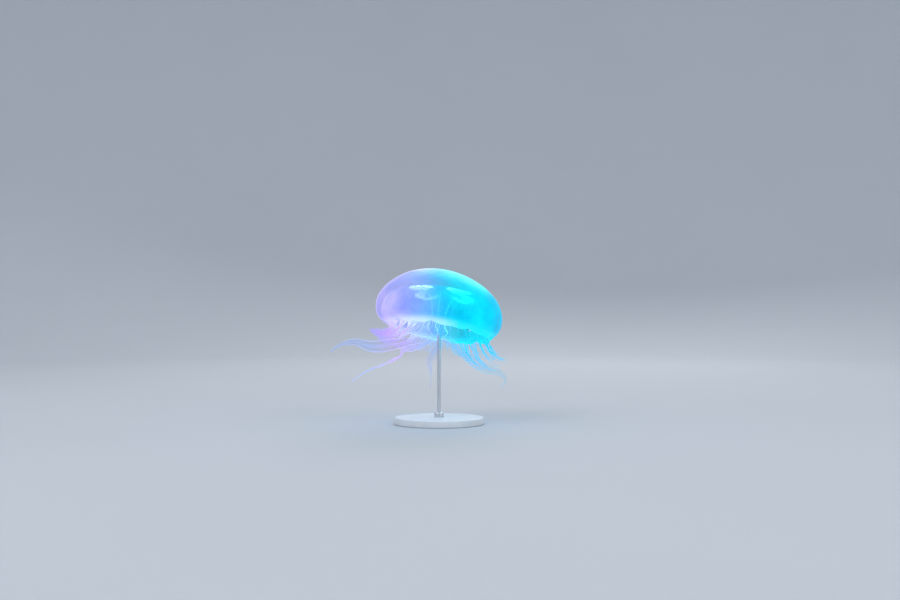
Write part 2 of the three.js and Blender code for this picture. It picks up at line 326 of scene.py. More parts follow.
def under_ceiling(spot, below):
    """The place that far below the ceiling of the room, over this spot of the plan."""
    point = Vector((spot.x, spot.y, dome_height(INNER, math.hypot(spot.x, spot.y))))
    tilt_ceiling(point)
    point.z -= below
    return point


bm = bmesh.new()
course = bm.verts.layers.float.new("course")
outer_line = wall_line(OUTER)
inner_line = wall_line(INNER)
bell_line = outer_line[::-1] + LIP[::-1] + inner_line
spin_round(bm, bell_line, BELL_STEPS, course)
lip_course = (len(outer_line) + len(LIP) / 2) / (len(bell_line) - 1)
for face in bm.faces:
    inside = sum(corner[course] for corner in face.verts) / len(face.verts) > lip_course
    face.material_index = 1 if inside else 0
for corner in bm.verts:
    point = corner.co
    outward = Vector((point.x, point.y, 0)) / OUTER["radius"]
    if corner[course] > lip_course:
        azimuth = math.atan2(point.y, point.x)
        wall_share = smoothstep(point.z, 2, 14) * (1 - smoothstep(point.z, 40, 56))
        ridge = math.sin(MUSCLE_RIDGES * azimuth + 0.8 * math.sin(9 * azimuth))
        point += outward * MUSCLE_DEPTH * wall_share * ridge
        point.z += notch(point)
        tilt_ceiling(point)
    else:
        dent = noise.noise(point * 0.028) + 0.4 * noise.noise(point * 0.07)
        point -= outward * FLESH_WOBBLE * (0.45 + dent) * smoothstep(point.z, -1, 10)
        point.z += notch(point)
        point.x += drift(point.z)
bm.transform(POSE)


def bell_place(tree):
    """Where a point lies in the bell's own frame, in millimetres."""
    return link(tree, "Mapping", {
        "Vector": object_place(tree), "Location": (0, 0, RIM_HEIGHT * MM),
        "Rotation": (LEAN_BACK, ROLL, 0), "Scale": (MM, MM, MM),
    }, vector_type="TEXTURE")


def bell_part(tree, axis):
    return link(tree, "SeparateXYZ", {"Vector": bell_place(tree)}, axis)


def painted_lamp_side(tree, waviness=0.07):
    """From 0 at the left of the animal to 1 at its right, with a soft uneven border: the mask for
    painted lamp light, pink from the left and cyan from the right.
    """
    across = link(tree, "SeparateXYZ", {"Vector": object_place(tree)}, "X")
    share = rescale(tree, across, -0.1, 0.1)
    uneven = maths(tree, "MULTIPLY_ADD", fine_noise(tree, 16), waviness, -waviness / 2)
    return maths(tree, "ADD", share, uneven)


def fine_grain(tree):
    """A wet surface that is nowhere quite even."""
    return fine_noise(tree, 600), 0.0004, 0.3


def jelly(name, tint, opacity, painted_glow, roughness, bump=fine_grain, stain=0.12):
    """Milky jelly with a painted glow, an emission standing in for lamp light scattered in it,
    over what shines through it and takes on some of its tint.
    """
    material, tree, surface = new_material(name)
    shade = tint(tree)
    gloss = maths(tree, "MULTIPLY_ADD", fine_noise(tree, 140), 0.16, roughness - 0.08)
    height, distance, strength = bump(tree)
    dents = link(tree, "Bump", {"Height": height, "Distance": distance, "Strength": strength})
    # The emission is painted glow: the jelly gives no light of its own.
    set_inputs(tree, surface, {
        "Base Color": shade, "Roughness": gloss, "IOR": 1.36, "Specular IOR Level": 0.3,
        "Emission Color": shade, "Emission Strength": painted_glow, "Normal": dents,
    })
    stained = mix_tints(tree, stain(tree) if callable(stain) else stain, WHITE, shade)
    clear = link(tree, "BsdfTransparent", {"Color": stained})
    mixed = link(tree, "MixShader", {0: opacity(tree), 1: clear, 2: surface.outputs[0]})
    tree.links.new(mixed, tree.nodes["Material Output"].inputs["Surface"])
    return material


def slant(tree):
    """0 where a surface is seen face on and 1 where it is seen edge on."""
    return link(tree, "LayerWeight", {"Blend": 0.5}, "Facing")


def by_angle(tree, face_on, edge_on, sharpness=1.6):
    """Thicker, and so more milky, where a wall is seen along its length."""
    steep = maths(tree, "POWER", slant(tree), sharpness)
    return rescale(tree, steep, 0, 1, face_on, edge_on)


def far_share(tree):
    """The wall at the back is clearer than at the front."""
    return remap(tree, bell_part(tree, "Y"), -20, 60, 1, 0.42)


def painted_lamp_stain(tree):
    """What shines through takes on more of the painted cyan lamp light at the right than of the
    painted pink at the left.
    """
    return remap(tree, painted_lamp_side(tree), 0.35, 0.75, 0.1, 0.8)


def lip_shade(tree):
    # White at the left and cyan at the right: painted lamp light on the lip.
    return ramp(tree, painted_lamp_side(tree), [
        (0.08, (226, 208, 255)),
        (0.26, (228, 236, 255)),
        (0.42, (222, 255, 255)),
        (0.52, (186, 255, 255)),
        (0.64, (52, 255, 255)),
        (0.82, (14, 248, 255)),
    ])


def mottled(tree, shade, scale):
    """The same shade, a little deeper in soft patches."""
    patches = ramp(tree, fine_noise(tree, scale, 4.0), [
        (0.36, (212, 232, 248)),
        (0.60, (255, 255, 255)),
    ])
    return mix_tints(tree, 1, shade, patches, blend_type="MULTIPLY")


def lip_height(tree):
    """The height over the lip, for a bright band that is wider in the middle and at the right."""
    wider = remap(tree, painted_lamp_side(tree), 0.28, 0.44, 1, 0.66)
    return times(tree, bell_part(tree, "Z"), wider)


def outer_tint(tree):
    # Lilac at the left to cyan at the right: painted pink and cyan lamp light.
    sides = ramp(tree, painted_lamp_side(tree), [
        (0.05, (200, 180, 252)),
        (0.25, (180, 180, 253)),
        (0.40, (136, 192, 252)),
        (0.50, (56, 210, 250)),
        (0.60, (0, 234, 250)),
        (0.78, (0, 246, 250)),
        (0.97, (0, 214, 252)),
    ])
    # A pale line where the left side is seen edge on: painted rim light.
    rim = times(tree, remap(tree, slant(tree), 0.72, 1, 0, 0.7),
                remap(tree, painted_lamp_side(tree), 0.6, 0.3, 0, 1))
    sides = mottled(tree, sides, 34)
    sides = mix_tints(tree, rim, sides, PAINTED_RIM_LIGHT)
    lip = remap(tree, lip_height(tree), 7, 0.8, 0, 0.9)
    return mix_tints(tree, lip, sides, lip_shade(tree))


def freckles(tree):
    """Tiny pale grains strewn over the outer face, 1 on a grain and 0 between."""
    cells = add_node(tree, "TexVoronoi", {"Vector": object_place(tree), "Scale": 330.0})
    pick = link(tree, "SeparateXYZ", {"Vector": cells.outputs["Color"]}, "X")
    size = rescale(tree, pick, 0, 1, 0.02, 0.2)
    return maths(tree, "LESS_THAN", cells.outputs["Distance"], size)


def outer_opacity(tree):
    height = bell_part(tree, "Z")
    wall = by_angle(tree, 0.28, 0.82, 1.8)
    crown = remap(tree, height, 58, 80, 0, 0.26)
    # More milk at the right, so that the painted cyan lamp light reads stronger.
    blue = remap(tree, painted_lamp_side(tree), 0.6, 0.95, 0, 0.14)
    thick = maths(tree, "ADD", crown, blue)
    lip = maths(tree, "POWER", remap(tree, lip_height(tree), 9, 0.6, 0, 1), 2)
    lip = times(tree, lip, remap(tree, painted_lamp_side(tree), 0.28, 0.44, 0.6, 0.95))
    cloudy = maths(tree, "MULTIPLY_ADD", fine_noise(tree, 55), 0.22, 0.89)
    body = times(tree, maths(tree, "ADD", wall, thick), cloudy)
    body = maths(tree, "MULTIPLY_ADD", freckles(tree), 0.1, body)
    whole = maths(tree, "ADD", body, lip)
    return maths(tree, "MINIMUM", times(tree, whole, far_share(tree)), 0.95)


def outer_bump(tree):
    swells = fine_noise(tree, 70, 2.0)
    return maths(tree, "MULTIPLY_ADD", freckles(tree), 0.08, swells), 0.0012, 0.25


def inner_tint(tree):
    # Pale lilac at the left to cyan at the right: painted pink and cyan lamp light.
    sides = ramp(tree, painted_lamp_side(tree, 0.1), [
        (0.10, (244, 222, 255)),
        (0.17, (230, 212, 255)),
        (0.26, (158, 168, 252)),
        (0.36, (134, 182, 252)),
        (0.46, (96, 216, 252)),
        (0.54, (26, 242, 251)),
        (0.66, (0, 252, 251)),
        (0.90, (0, 253, 251)),
    ])
    lip = remap(tree, bell_part(tree, "Z"), 13, 2, 0, 0.75)
    return mix_tints(tree, lip, mottled(tree, sides, 52), lip_shade(tree))


def inner_opacity(tree):
    height = bell_part(tree, "Z")
    side_wall = by_angle(tree, 0.52, 0.97, 1.1)
    ceiling = by_angle(tree, 0.08, 0.42, 2.0)
    high = remap(tree, height, 40, 53, 0, 1)
    wall = link(tree, "Mix", {0: high, 2: side_wall, 3: ceiling})
    lip = remap(tree, height, 5, 1.5, 0, 0.5)
    drawn_out = streaky_noise(tree, bell_place(tree), (0.12, 0.12, 0.02), 4.0)
    streaks = maths(tree, "MULTIPLY_ADD", drawn_out, 0.5, 0.75)
    body = maths(tree, "MULTIPLY_ADD", wall, streaks, lip)
    return maths(tree, "MINIMUM", times(tree, body, far_share(tree)), 0.95)


def inner_bump(tree):
    """Ring muscle, finely ribbed from the ceiling down to the lip."""
    return streaky_noise(tree, bell_place(tree), (0.5, 0.5, 0.03), 3.0), 0.0012, 0.35


bell_outside = jelly("bell_outside", outer_tint, outer_opacity, 0.36, 0.38, outer_bump, painted_lamp_stain)
bell_inside = jelly("bell_inside", inner_tint, inner_opacity, 0.4, 0.5, inner_bump, painted_lamp_stain)
bell_skin = mesh_object("bell_skin", bm, bell_outside, bell_inside)
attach(bell_skin, "root")
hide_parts("bell", *[f"margin_tentacles_{i + 1}" for i in range(LAPPETS)])

# ---------------------------------------- radial canals
# Fine canals run in the jelly just above the ceiling, from the stomach down to a ring canal in
# the lip. Eight run straight and the eight between them fork like twigs.
CANALS = 16
CANAL_RADIUS = 0.42
CANAL_LIFT = 0.7
CANAL_STEPS = 26
CANAL_START = 0.66  # where on the inner face they leave the stomach: 0 is the lip, 1 the top
RING_CANAL = 0.05
RING_STEPS = 180
CANAL_SWING = 0.012
THREAD_SIDES = 5
TWIGS = [(0.58, 0.06), (0.50, 0.10), (0.42, 0.135), (0.33, 0.165)]  # where, and how far aside


def add_sheet(bm, along, across, place, layer=None, patch=(0, 0, 1)):
    """A sheet of so many faces, each corner put where place(along, across) says, both 0 to 1."""
    made = bmesh.ops.create_grid(bm, x_segments=along, y_segments=across, size=0.5)
    corners = made["verts"]
    if layer:
        left, low, size = patch
        for face in faces_of(corners):
            for loop in face.loops:
                spot = loop.vert.co
                loop[layer].uv = (left + size * (spot.x + 0.5), low + size * (spot.y + 0.5))
    for corner in corners:
        corner.co = place(corner.co.x + 0.5, corner.co.y + 0.5)
    return corners


def add_thread(bm, points, sides, radius_at, layer=None, patch=(0, 0, 1)):
    """A round thread along the points, closed at its ends."""
    last = len(points) - 1

    def place(along, around):
        number = round(along * last)
        ahead = (points[min(number + 1, last)] - points[max(number - 1, 0)]).normalized()
        level = Vector((0, 0, 1)) if abs(ahead.z) < 0.9 else Vector((1, 0, 0))
        across = ahead.cross(level).normalized()
        through = ahead.cross(across)
        turn = 2 * math.pi * around
        radius = 0 if number in (0, last) else radius_at(along)
        return points[number] + (across * math.cos(turn) + through * math.sin(turn)) * radius
    return add_sheet(bm, last, sides, place, layer, patch)


def close_up(bm):
    """Joins the sheets where they meet themselves and turns their faces outwards."""
    bmesh.ops.remove_doubles(bm, verts=bm.verts, dist=0.004)
    bmesh.ops.recalc_face_normals(bm, faces=bm.faces)


def in_ceiling(azimuth, share, lift):
    """A place on the inner face, so far into the jelly."""
    spot = share * (len(inner_line) - 1)
    low = min(int(spot), len(inner_line) - 2)
    part = spot - low
    radius, height = Vector(inner_line[low]).lerp(Vector(inner_line[low + 1]), part)
    upward = smoothstep(share, 0.3, 0.75)
    point = on_ring(radius + lift * (1 - upward), azimuth, height + lift * upward)
    point.z += notch(point)
    tilt_ceiling(point)
    return point


def canal(bm, azimuth, start, end_azimuth, radius):
    points = []
    for i in range(CANAL_STEPS + 1):
        share = i / CANAL_STEPS
        down = start + (RING_CANAL - start) * share
        swing = CANAL_SWING * math.sin(11 * share + 40 * azimuth)
        turned = azimuth + (end_azimuth - azimuth) * smoothstep(share, 0, 0.55)
        points.append(in_ceiling(turned + swing, down, CANAL_LIFT))
    add_thread(bm, points, THREAD_SIDES, lambda along: radius * (1 - 0.45 * along))


bm = bmesh.new()
for i in range(CANALS):
    azimuth = BODY_TURN + 2 * math.pi * i / CANALS
    canal(bm, azimuth, CANAL_START, azimuth, CANAL_RADIUS)
    if i % 2 == 0:
        for fork, spread in TWIGS:
            for side in (-1, 1):
                canal(bm, azimuth + side * spread * 0.25, fork, azimuth + side * spread,
                      0.7 * CANAL_RADIUS)
ring = [in_ceiling(2 * math.pi * i / RING_STEPS, RING_CANAL, CANAL_LIFT)
        for i in range(RING_STEPS + 1)]
add_thread(bm, ring, THREAD_SIDES, lambda along: CANAL_RADIUS)
close_up(bm)
bm.transform(POSE)


def canal_tint(tree):
    # Lilac at the left to cyan at the right: painted lamp light.
    return ramp(tree, painted_lamp_side(tree), [
        (0.20, (232, 216, 255)),
        (0.50, (150, 222, 255)),
        (0.70, (90, 246, 255)),
    ])


def canal_opacity(tree):
    return maths(tree, "MULTIPLY_ADD", fine_noise(tree, 120), 0.24, 0.04)


canal_jelly = jelly("canal_jelly", canal_tint, canal_opacity, 0.55, 0.4)
canals = mesh_object("radial_canals", bm, canal_jelly)
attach(canals, "root")

# ---------------------------------------- gonads
# Four horseshoes lie against the ceiling, open towards the middle. Each is a milky ribbon folded
# like a ruff, the whitest part of the animal and, by a painted glow, the brightest, with a row of
# short filaments along its inner side.
# It lies in a shallow pouch of the stomach.
GONAD_RING = 37
GONAD_RADIUS = 14.5
GONAD_OPENING = math.radians(70)
GONAD_BELOW = 2.3
GONAD_HALF_WIDTH = 2.4
GONAD_HALF_HEIGHT = 1.25
GONAD_PLEATS = 26
PLEAT_DEPTH = 0.7
GONAD_STEPS = 400
GONAD_SIDES = 12
FILAMENTS = 54
FILAMENT_LENGTH = 8
FILAMENT_STEPS = 10
FILAMENT_RADIUS = 0.32
GONAD_END = 0.04  # the share at each end of the ribbon that bears no filaments
POUCH_RADIUS = 19.5
POUCH_DEPTH = 5.8
POUCH_RINGS = 18
POUCH_STEPS = 72

draw = random.Random(7)


def rounded(share):
    """Swells from nothing at both ends to full thickness."""
    return min(1, math.sqrt(max(math.sin(math.pi * share), 0)) * 1.5)


def horseshoe(azimuth, share, inwards, below):
    """A place so far inside the horseshoe and so far below the ceiling."""
    turn = azimuth + math.pi + GONAD_OPENING / 2 + share * (2 * math.pi - GONAD_OPENING)
    spot = on_ring(GONAD_RING, azimuth) + on_ring(GONAD_RADIUS - inwards, turn)
    return under_ceiling(spot, below)


def add_gonad(bm, azimuth):
    def place(along, around):
        beat = 2 * math.pi * GONAD_PLEATS * (along + 0.012 * math.sin(17 * along + azimuth))
        size = rounded(along)
        fold = PLEAT_DEPTH * size * (math.sin(beat) + 0.5 * math.sin(0.37 * beat + azimuth))
        middle = horseshoe(azimuth, along, fold, GONAD_BELOW + 0.5 * fold)
        inner = horseshoe(azimuth, along, fold + 1, GONAD_BELOW + 0.5 * fold)
        across = (inner - middle).normalized()
        turn = 2 * math.pi * around
        ruffle = 1 + 0.2 * math.sin(1.5 * beat + 1) * math.cos(turn)
        return (
            middle
            + across * GONAD_HALF_WIDTH * size * ruffle * math.cos(turn)
            + Vector((0, 0, 1)) * GONAD_HALF_HEIGHT * size * ruffle * math.sin(turn)
        )
    add_sheet(bm, GONAD_STEPS, GONAD_SIDES, place, bm.loops.layers.uv.new("ruff"))


def add_filaments(bm, azimuth):
    before = set(bm.faces)
    for i in range(FILAMENTS):
        spot = (i + draw.uniform(0.2, 0.8)) / FILAMENTS
        share = GONAD_END + (1 - 2 * GONAD_END) * spot
        length = FILAMENT_LENGTH * draw.uniform(0.5, 1.3)
        curl = draw.uniform(-0.05, 0.05)
        phase = draw.uniform(0, 2 * math.pi)
        points = []
        for step in range(FILAMENT_STEPS + 1):
            part = step / FILAMENT_STEPS
            squiggle = 0.02 * part * math.sin(2 * math.pi * 1.6 * part + phase)
            points.append(horseshoe(azimuth, share + curl * part * part + squiggle,
                                    1.5 + length * part, GONAD_BELOW + 1 + 5 * part * part))
        add_thread(bm, points, 4, lambda along: FILAMENT_RADIUS * (1 - 0.5 * along))
    for face in set(bm.faces) - before:
        face.material_index = 1


def milk_tint(tree):
    # Whiter at the left and cyan at the right: painted lamp light on the milky parts.
    return ramp(tree, painted_lamp_side(tree, 0.1), [
        (0.15, (236, 236, 255)),
        (0.45, (222, 248, 255)),
        (0.58, (186, 254, 255)),
        (0.80, (140, 255, 255)),
    ])


def folds_and_fold_shade(tree):
    """Fine folds that run across the ribbon, 1 on a fold and 0 between: they carry the bump and
    the painted shade between the folds.
    """
    place = link(tree, "UVMap", {}, uv_map="ruff")
    return remap(tree, streaky_noise(tree, place, (95, 1.2, 1), 2.0), 0.36, 0.6, 0, 1)


def gonad_tint(tree):
    # Darker and bluer between the folds: painted shade in the creases.
    return mix_tints(tree, folds_and_fold_shade(tree), from_srgb(160, 206, 253), milk_tint(tree))


def gonad_opacity(tree):
    cloudy = rescale(tree, fine_noise(tree, 420), 0.3, 0.7, 0.82, 1)
    milk = times(tree, by_angle(tree, 0.72, 1.0, 1.0), cloudy)
    # The back pair fades: painted shade, with the light taken to fall on the front pair.
    return times(tree, milk, remap(tree, bell_part(tree, "Y"), -34, 28, 1, 0.22))


def filament_opacity(tree):
    # The filaments of the back pair fade too: painted shade.
    return remap(tree, bell_part(tree, "Y"), -34, 28, 0.85, 0.6)


def gonad_bump(tree):
    grains = fine_noise(tree, 1100)
    return maths(tree, "MULTIPLY_ADD", folds_and_fold_shade(tree), 0.6, grains), 0.0006, 0.5


# A strong painted glow makes the gonads the brightest part of the animal.
gonad_flesh = jelly("gonad_flesh", gonad_tint, gonad_opacity, 2.1, 0.4, gonad_bump)
filament_flesh = jelly("filament_flesh", milk_tint, filament_opacity, 0.7, 0.4)
for i in range(4):
    bm = bmesh.new()
    azimuth = BODY_TURN + (i + 0.5) * math.pi / 2
    add_gonad(bm, azimuth)
    add_filaments(bm, azimuth)
    close_up(bm)
    bm.transform(POSE)
    gonad = mesh_object(f"gonad_ribbon_{i + 1}", bm, gonad_flesh, filament_flesh)
    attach(gonad, "root")
    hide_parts(f"gonad_{i + 1}")


def pouch_place(azimuth):
    """A shallow bowl under one gonad, from its rim at the ceiling to its lowest point."""
    def place(outwards, around):
        turn = 2 * math.pi * around
        radius = POUCH_RADIUS * outwards * (1 + 0.05 * math.sin(5 * turn) * outwards)
        depth = POUCH_DEPTH * math.sqrt(1 - 0.97 * outwards ** 4)
        return under_ceiling(on_ring(GONAD_RING, azimuth) + on_ring(radius, turn), depth)
    return place


def pouch_opacity(tree):
    milk = by_angle(tree, 0.04, 0.4, 2)
    cloudy = rescale(tree, fine_noise(tree, 150), 0.3, 0.7, 0.6, 1)
    return times(tree, milk, cloudy)


bm = bmesh.new()
for i in range(4):
    azimuth = BODY_TURN + (i + 0.5) * math.pi / 2
    add_sheet(bm, POUCH_RINGS, POUCH_STEPS, pouch_place(azimuth))
close_up(bm)
bm.transform(POSE)
pouch_film = jelly("pouch_film", milk_tint, pouch_opacity, 0.5, 0.4)
pouches = mesh_object("stomach_pouches", bm, pouch_film)
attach(pouches, "root")

# ---------------------------------------- mouth tube
# A short thick tube of jelly hangs from the middle of the ceiling. Its mouth has four corners,
# and a soft folded ridge runs down each corner and on into one of the arms.
MOUTH_LINE = [(21, 63), (19, 58), (14, 51), (10, 42), (8, 32), (7.6, 22), (8.4, 12), (10, 4),
              (11.6, -1.6), (12, -3)]
MOUTH_WALL = 1.6
MOUTH_CORNERS = 0.2
MOUTH_STEPS = 96
MOUTH_BELOW = 0.4
RIDGE_STEPS = 160
RIDGE_TOP = 56
RIDGE_LENGTH = 62
RIDGE_HALF_WIDTH = 1.1
RIDGE_HALF_THICKNESS = 0.5
RIDGE_FOLDS = 9
RIDGE_SIDES = 8


def mouth_radius(height, azimuth):
    """The tube's radius at this height, in this direction from its first corner."""
    radius = MOUTH_LINE[-1][0]
    for (upper, top), (lower, bottom) in zip(MOUTH_LINE, MOUTH_LINE[1:]):
        if bottom <= height <= top:
            radius = lower + (upper - lower) * (height - bottom) / (top - bottom)
    pleats = 0.06 * math.sin(12 * azimuth + 0.2 * height) * smoothstep(45 - height, 0, 35)
    return radius * (1 + MOUTH_CORNERS * math.cos(4 * azimuth) + pleats)


bm = bmesh.new()
inside_line = [(max(radius - MOUTH_WALL, 1), height) for radius, height in MOUTH_LINE[::-1]]
spin_round(bm, MOUTH_LINE + inside_line + MOUTH_LINE[:1], MOUTH_STEPS)
for corner in bm.verts:
    point = corner.co
    azimuth = math.atan2(point.y, point.x) - BODY_TURN
    across = math.hypot(point.x, point.y)
    nearest = min(MOUTH_LINE, key=lambda entry: abs(entry[1] - point.z))[0]
    grown = across * mouth_radius(point.z, azimuth) / nearest
    point.x *= grown / across
    point.y *= grown / across
    point.x += drift(point.z)
    point.z = min(point.z, under_ceiling(point, MOUTH_BELOW).z)


def ridge_place(azimuth, phase):
    def place(along, around):
        height = RIDGE_TOP - RIDGE_LENGTH * along
        reach = mouth_radius(max(height, -3), 0) + 0.6 - 6.5 * smoothstep(along, 0.86, 1)
        beat = 2 * math.pi * RIDGE_FOLDS * (along + 0.02 * math.sin(9 * along + phase)) + phase
        shake = 0.5 * math.sin(beat) * rounded(along)
        out = on_ring(1, azimuth)
        aside = on_ring(1, azimuth + math.pi / 2)
        turn = 2 * math.pi * around
        size = rounded(along) * (1 + 0.15 * math.sin(1.3 * beat))
        middle = out * reach + aside * shake + Vector((drift(height), 0, height))
        return (
            middle
            + out * RIDGE_HALF_WIDTH * size * math.cos(turn)
            + aside * RIDGE_HALF_THICKNESS * size * math.sin(turn)
        )
    return place


for i in range(4):
    place = ridge_place(BODY_TURN + i * math.pi / 2, 1.3 * i)
    ridge = add_sheet(bm, RIDGE_STEPS, RIDGE_SIDES, place)
    for face in faces_of(ridge):
        face.material_index = 1
close_up(bm)
bm.transform(POSE)


def mouth_tint(tree):
    # Lilac at the left to cyan at the right: painted lamp light.
    return ramp(tree, painted_lamp_side(tree), [
        (0.40, (190, 202, 255)),
        (0.50, (130, 210, 253)),
        (0.60, (60, 228, 255)),
    ])


def ridge_tint(tree):
    # Whiter at the left to cyan at the right: painted lamp light.
    return ramp(tree, painted_lamp_side(tree), [
        (0.40, (220, 222, 255)),
        (0.50, (190, 246, 255)),
        (0.58, (120, 246, 255)),
    ])


def mouth_opacity(tree):
    drawn_out = streaky_noise(tree, bell_place(tree), (0.5, 0.5, 0.05), 4.0)
    streaks = maths(tree, "MULTIPLY_ADD", drawn_out, 0.9, 0.55)
    return times(tree, by_angle(tree, 0.05, 0.22, 2.0), streaks)


def ridge_opacity(tree):
    near = remap(tree, bell_part(tree, "Y"), -8, 2, 1, 0.5)
    return times(tree, by_angle(tree, 0.35, 0.75, 1.5), near)


mouth_jelly = jelly("mouth_jelly", mouth_tint, mouth_opacity, 0.35, 0.3)
ridge_jelly = jelly("ridge_jelly", ridge_tint, ridge_opacity, 0.9, 0.3)
mouth = mesh_object("mouth_tube_skin", bm, mouth_jelly, ridge_jelly)
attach(mouth, "root")
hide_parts("mouth_tube")

# ---------------------------------------- oral arms
# Four long ribbons of thin jelly trail from the corners of the mouth. Each has a soft rib along
# its middle and two clear flaps, whose free edges are gathered into a fine frill.
ARMS = {
    "left": {
        "course": [(-6, 0, 125), (-33, 3, 118), (-66, 9, 112), (-95, 12, 109), (-120, 10, 115.5),
                   (-139, 4, 111.5), (-152, -2, 103)],
        "half_width": 8.6, "widest": 0.5, "blade": (0, 0.15, 1), "turn": 8, "milk": 0.9,
    },
    "front": {
        "course": [(-1, -7, 125), (-24, -21, 112), (-47, -31, 106), (-54, -37, 97),
                   (-72, -43, 88), (-97, -48, 78), (-119, -53, 64)],
        "half_width": 6, "widest": 0.35, "blade": (0.2, 1, 0.45), "turn": -8, "milk": 1.0,
    },
    "back": {
        "course": [(2, 7, 122), (-3, 18, 109), (-9, 25, 98), (-14, 30, 86), (-12, 34, 72),
                   (-13, 36, 49)],
        "half_width": 6, "widest": 0.4, "blade": (0.5, 1, 0), "turn": 24, "milk": 0.45,
    },
    "right": {
        "course": [(7, 1, 122), (27, 5, 104), (44, 8, 91), (63, 10, 79.5), (83, 7, 73),
                   (93.5, 4, 63), (88, 2, 51)],
        "half_width": 7, "widest": 0.6, "blade": (0.4, 0.2, 1), "turn": 20, "milk": 0.4,
    },
}
ARM_ROOT_HALF_WIDTH = 4.6
ARM_TIP = 0.16
COURSE_STEPS = 24  # between two points of a course
ARM_STEPS = 700
FLAP_STEPS = 14
FLAP_THICKNESS = 0.3
FRILLS = 58
FRILL_DEPTH = 0.42
WAVE_DEPTH = 0.8  # of the slow waves that the frill rides on


def smooth_course(points):
    """A function from 0 to 1 that runs evenly along a smooth curve through the points."""
    ends = [2 * points[0] - points[1], *points, 2 * points[-1] - points[-2]]
    fine = []
    for before, start, stop, after in zip(ends, ends[1:], ends[2:], ends[3:]):
        for step in range(COURSE_STEPS):
            t = step / COURSE_STEPS
            fine.append(0.5 * (
                2 * start + (stop - before) * t
                + (2 * before - 5 * start + 4 * stop - after) * t ** 2
                + (3 * start - 3 * stop + after - before) * t ** 3
            ))
    fine.append(points[-1])
    reach = [0]
    for first, second in zip(fine, fine[1:]):
        reach.append(reach[-1] + (second - first).length)

    def at(share):
        target = min(max(share, 0), 1) * reach[-1]
        low = sum(passed <= target for passed in reach[1:-1])
        part = (target - reach[low]) / (reach[low + 1] - reach[low])
        return fine[low].lerp(fine[low + 1], part)
    return at


def frame_along(at, share, blade):
    """The point, and the ways across and through the ribbon there."""
    ahead = (at(share + 0.01) - at(share - 0.01)).normalized()
    across = (blade - ahead * blade.dot(ahead)).normalized()
    return at(share), across, ahead.cross(across)


def arm_width(arm, share):
    growth = (arm["half_width"] - ARM_ROOT_HALF_WIDTH) * smoothstep(share, 0, arm["widest"])
    slimness = 1 - (1 - ARM_TIP) * smoothstep(share, arm["widest"], 1)
    return (ARM_ROOT_HALF_WIDTH + growth) * slimness


def flap_place(arm, at, blade, phase):
    frames = {}

    def place(along, across_share):
        if along not in frames:
            middle, across, through = frame_along(at, along, blade)
            turn = math.radians(arm["turn"]) * math.sin(math.pi * along) ** 2
            frames[along] = (
                middle,
                across * math.cos(turn) + through * math.sin(turn),
                through * math.cos(turn) - across * math.sin(turn),
            )
        middle, across, through = frames[along]
        side = 2 * across_share - 1
        width = arm_width(arm, along)
        edge = abs(side) ** 2.2
        pace = along + 0.02 * math.sin(2 * math.pi * 2.3 * along + phase)
        beat = 2 * math.pi * FRILLS * pace + phase + (1.3 if side > 0 else 0)
        strength = 0.6 + 0.4 * math.sin(2 * math.pi * 4.3 * along + phase + side)
        frill = FRILL_DEPTH * (math.sin(beat) + 0.3 * math.sin(0.61 * beat + 1)) * strength
        wave = WAVE_DEPTH * math.sin(2 * math.pi * 9 * pace + 2 * phase + 1.9 * side)
        depth = width / arm["half_width"] * edge * smoothstep(along, 0, 0.12)
        twist = 0.25 * width * math.sin(2 * math.pi * 1.6 * along + phase) * side
        return (
            middle + across * width * side * (1 - 0.04 * edge)
            + through * (depth * (frill + wave) + twist * abs(side))
        )
    return place


def strip_parts(tree):
    """How far along the ribbon a point is, and how far from its middle, both 0 to 1."""
    place = link(tree, "UVMap", {}, uv_map="strip")
    parts = add_node(tree, "SeparateXYZ", {"Vector": place})
    middle = maths(tree, "ABSOLUTE", rescale(tree, parts.outputs["Y"], 0, 1, -1, 1))
    return parts.outputs["X"], middle


def arm_pleats(tree):
    """Fine folds that run across the ribbon."""
    return streaky_noise(tree, link(tree, "UVMap", {}, uv_map="strip"), (150, 3, 1), 2.0)


def arm_tint(tree):
    # The film and its bright edges run lilac to cyan from left to right: painted lamp light.
    film = ramp(tree, painted_lamp_side(tree), [
        (0.00, (140, 176, 252)),
        (0.10, (176, 172, 252)),
        (0.20, (206, 168, 252)),
        (0.30, (196, 170, 252)),
        (0.42, (150, 178, 252)),
        (0.60, (84, 196, 252)),
        (0.90, (60, 204, 250)),
    ])
    bright = ramp(tree, painted_lamp_side(tree), [
        (0.00, (190, 212, 255)),
        (0.20, (232, 208, 255)),
        (0.40, (206, 214, 255)),
        (0.60, (130, 226, 255)),
    ])
    middle = strip_parts(tree)[1]
    edge = remap(tree, middle, 0.7, 1, 0, 0.8)
    rib = remap(tree, middle, 0.5, 0, 0, 0.3)
    return mix_tints(tree, maths(tree, "ADD", edge, rib), film, bright)


def arm_opacity(milk):
    def opacity(tree):
        along, middle = strip_parts(tree)
        edge = remap(tree, middle, 0.76, 1, 0, 0.5 * milk)
        rib = remap(tree, middle, 0.6, 0, 0, 0.16 * milk)
        film = by_angle(tree, 0.07 * milk, 0.42 * milk, 2)
        pleats = rescale(tree, arm_pleats(tree), 0.3, 0.7, 0.6, 1.3)
        whole = maths(tree, "MULTIPLY_ADD", maths(tree, "ADD", edge, film), pleats, rib)
        root = remap(tree, along, 0.02, 0.28, 0.25, 1)
        return maths(tree, "MINIMUM", times(tree, whole, root), 0.95)
    return opacity


def arm_bump(tree):
    return arm_pleats(tree), 0.0006, 0.5


